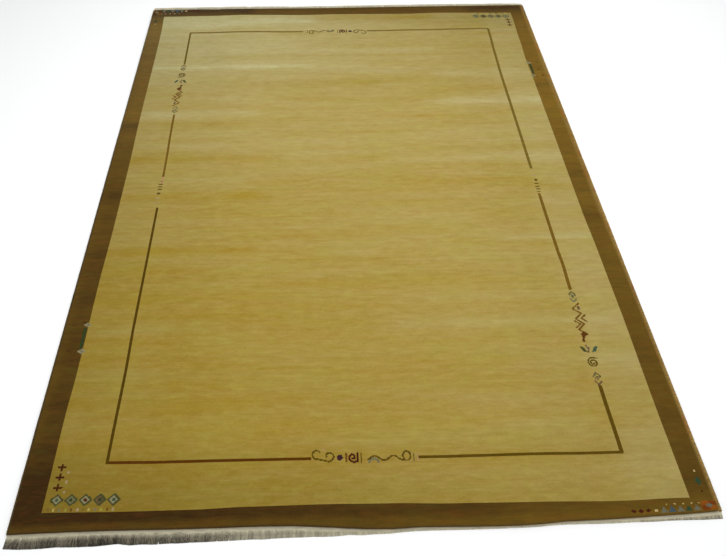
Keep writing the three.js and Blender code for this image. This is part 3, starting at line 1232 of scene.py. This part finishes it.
nearFringe = {  # by the place across, of the near fringe alone
    # how soiled the near fringe is; the painted shade of the lower strands comes in with it
    "soilAndShade": [(-850, 0.8), (-700, 0.86), (-620, 0.95), (-505, 0.82), (-383, 0.6), (-262, 0.3), (-140, 0.18),
             (-20, 0.12), (100, 0.06)],
    "gapShade": [(-850, 0.86), (-440, 0.85), (-262, 0.5), (-140, 0.36), (-20, 0.16), (60, 0.05), (600, 0.05),
             (700, 0.4), (850, 0.5)],  # painted shade between the locks, where the floor would show
    "trim": [(-850, 1.1), (-600, 1), (-480, 0), (-150, 0), (-20, 1.3), (250, 1.4), (394, 2.7), (590, 1.2),
             (800, 1.4)],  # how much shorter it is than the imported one
}


def reachOf(node, side):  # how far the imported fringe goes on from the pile's end
    low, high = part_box(node)
    cells = fringe["reachCells"]
    step = (high.x - low.x) / mm / cells
    found = {}
    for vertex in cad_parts[node].data.vertices:
        x, y = vertex.co.x / mm - middle.x, vertex.co.y / mm - middle.y
        cell = min(cells - 1, int((vertex.co.x - low.x) / mm / step))
        reach = side * (y - endAt(side, x))
        found[cell] = max(reach, found.get(cell, 0))
    return [(low.x / mm - middle.x + (cell + 0.5) * step, found[cell]) for cell in sorted(found)]


def strandRoutes(side, node):  # each strand's (across, out, up) places, and its layer, chance and tone
    shape = fringe
    chance = random.Random(71 + side)
    reach = reachOf(node, side)
    first, last = (edge * (chartHalf["across"] + selvedgeWidthAt(edge, side) - shape["sideInset"])
                   for edge in (-1, 1))
    locks = int((last - first) / shape["lock"]) + 2
    lockPulls = [chance.uniform(-shape["lockTurn"], shape["lockTurn"]) for lock in range(locks)]
    routes, tints = [], []
    for strand in range(shape["strands"]):
        across = first + (last - first) * (strand + chance.random()) / shape["strands"]
        layer = chance.random()
        flat = strand % shape["flatEvery"] == 0
        bend, stray = chance.gauss(0, shape["bend"]), chance.gauss(0, shape["stray"])
        ragged, wave, phase = chance.random(), chance.uniform(0, shape["wave"]), chance.uniform(0, 6.3)
        matted = any(abs(across - at) < wide * chance.uniform(0.5, 1.2) for at, wide in tangles[side])
        curly = matted or chance.random() < shape["curly"]
        curl = chance.uniform(-shape["curl"], shape["curl"])
        soilAndShade, gapShade, trim = (between(stops, across) if side < 0 else 0 for stops in nearFringe.values())
        limit = straightBetween(reach, across) - trim
        start = straightBetween(endWeave["width"][side], across) - shape["rootIn"]
        free = limit - start
        sparse = free < shape["sparseFrom"] and strand % 2 and not flat
        if free < shape["shortest"] or sparse:
            continue
        turned = 2 * math.pi * across
        heading = sum(turn * math.sin(turned / every + side) for turn, every in shape["sweeps"])
        clump = noise.cell(Vector((across / shape["clump"], side, 5)))
        lock = (across - first) / shape["lock"]
        offLock = (lock - math.floor(lock) - 0.5) * shape["lock"]
        if flat:
            bend, wave, stray = (part * shape["flatSway"] for part in (bend, wave, stray))
            heading *= shape["flatTurn"]
            # a flat strand is painted with the shade between the locks
            soilAndShade = max(soilAndShade, gapShade)
        else:
            heading += lockPulls[int(lock)] - shape["drawn"] * offLock / free
        heading += stray * (3 if matted else 1)
        length = free * (1 - shape["ragged"] * ragged * (0.15 if flat else 1))
        if curly and not flat and free > shape["curlFrom"]:
            bend, length = curl, length * (1 + 0.4 * ragged)
        x, out = across, start
        step = length / shape["steps"]
        route = []
        for k in range(shape["steps"] + 1):
            share = k / shape["steps"]
            hill = math.sin(math.pi * min(1, share / shape["landsAt"]))
            rise = 0 if flat else layer * shape["pileUp"] * hill
            route.append((x, out, shape["rootUp"] * (1 - share) + rise + shape["thickness"] / 2))
            angle = heading + bend * share ** 1.5 + wave * math.sin(phase + 5 * share)
            x = max(first - shape["sideInset"], min(last + shape["sideInset"], x + step * math.sin(angle)))
            out = max(start, min(limit, out + step * math.cos(angle)))
        routes.append(route)
        variety = (1 - shape["clumpShare"]) * chance.random() + shape["clumpShare"] * clump
        tints.append((0 if flat else layer, variety, soilAndShade, flat))
    return routes, tints


def makeFringe(side, name, node):
    shape = fringe
    deselectAll()
    bpy.ops.mesh.primitive_cylinder_add(vertices=shape["sides"], radius=1, depth=2)
    hank = added(name)
    heights = [z for x, y, z in vertexPlaces(hank)]
    pick(hank, "EDGE", lambda edge: abs(heights[edge.vertices[0]] - heights[edge.vertices[1]]) > 1)
    bpy.ops.mesh.subdivide(number_cuts=shape["steps"] - 1)
    leaveEdit()
    corners = len(hank.data.vertices)
    routes, tints = strandRoutes(side, node)
    repeatInPlace(hank, len(routes))

    places, colours = [], []
    for i, (x, y, z) in enumerate(vertexPlaces(hank)):
        route = routes[i // corners]
        k = round((z + 1) / 2 * shape["steps"])
        share = k / shape["steps"]
        here = route[k]
        after = route[min(k + 1, shape["steps"])]
        before = route[max(k - 1, 0)]
        dx, dy = after[0] - before[0], after[1] - before[1]
        stretch = math.hypot(dx, dy) or 1
        layer, variety, soilAndShade, flat = tints[i // corners]
        thick = shape["thickness"] / 2 * (1 - shape["thinning"] * share)
        wide = shape["thickness"] / 2 * shape["flatWide"] if flat else thick
        across = here[0] + x * wide * dy / stretch
        out = here[1] - x * wide * dx / stretch
        up = max(0.02, here[2] + y * thick)
        along = endAt(side, across) + side * out
        places.append(framePlace(across + leanAt(along), along, up * mm))
        colours += (layer, variety, soilAndShade * min(1, 2 * share), 1 - shape["tipDark"] * soilAndShade * share)
    setVertexPlaces(hank, places)
    giveAttribute(hank, "tint", "FLOAT_COLOR", "POINT", colours)
    faceOutwards(hank)
    bpy.ops.object.shade_smooth_by_angle(angle=math.radians(shape["smoothAngle"]))
    print(name, "made:", len(routes), "strands")
    return hank


fringeLook = {
    # low is painted shade: the lowest strands and the flat backing are dark as if shaded by the strands over
    # them; top is the colour of the upper strands
    "low": (42, 36, 28),
    "top": (146, 136, 116),
    "mauve": (102, 88, 78),
    "clean": (206, 198, 170),
    "hairOften": 1500,  # to the metre
    "hairShare": 0.4,
    "varied": 0.2,  # how much the strands differ in tone, and how much more by their soil and painted shade
    "variedSoiledAndShaded": 0.5,
    "tone": 0.81,
    "relief": 0.2,
}


def fringeCotton():
    look = fringeLook
    m = Finish("fringeCotton")
    tint = m.attribute("tint")
    layer = m.node("SeparateColor", None, {0: tint})
    variety, soilAndShade = layer.also("Green"), layer.also("Blue")
    # painted shade: the lower a strand lies, the darker its colour
    colour = m.mixed((layer * 1.3).held(), look["low"], look["top"])
    colour = m.mixed(variety.past(0.6, 2) * 0.6, colour, look["mauve"])
    # where a strand is soiled it takes the layered colours, with their painted shade; elsewhere it is clean
    colour = m.mixed(soilAndShade, look["clean"], colour)
    hair = m.cloud(m.objectPlace(), scale=look["hairOften"])
    tone = (variety - 0.5) * (soilAndShade * look["variedSoiledAndShaded"] + look["varied"])
    tone = tone + hair * look["hairShare"] + look["tone"]
    colour = m.lit(colour, tone * tint.also("Alpha"))
    return cottonSurface(m, colour, m.bumped(hair, look["relief"] * mm))


setCamera()
setStage()
rug = makePile(drawChart())
wear(rug, pileWool())
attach(rug, "root")

for side, node in ((-1, "binding_left"), (1, "binding_right")):
    cord = makeSelvedge(side, "selvedgeLeft" if side < 0 else "selvedgeRight")
    wear(cord, yarnWool(node))
    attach(cord, "root")
    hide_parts(node)

weave, cotton = stripCotton(), fringeCotton()
for side, node in ((-1, "fringe_near"), (1, "fringe_far")):
    end = "Near" if side < 0 else "Far"
    strip = makeEndStrip(side, "endStrip" + end)
    wear(strip, weave)
    strands = makeFringe(side, "fringe" + end, node)
    wear(strands, cotton)
    for piece in (strip, strands):
        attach(piece, "root")
        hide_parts(node)

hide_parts("pile_body")
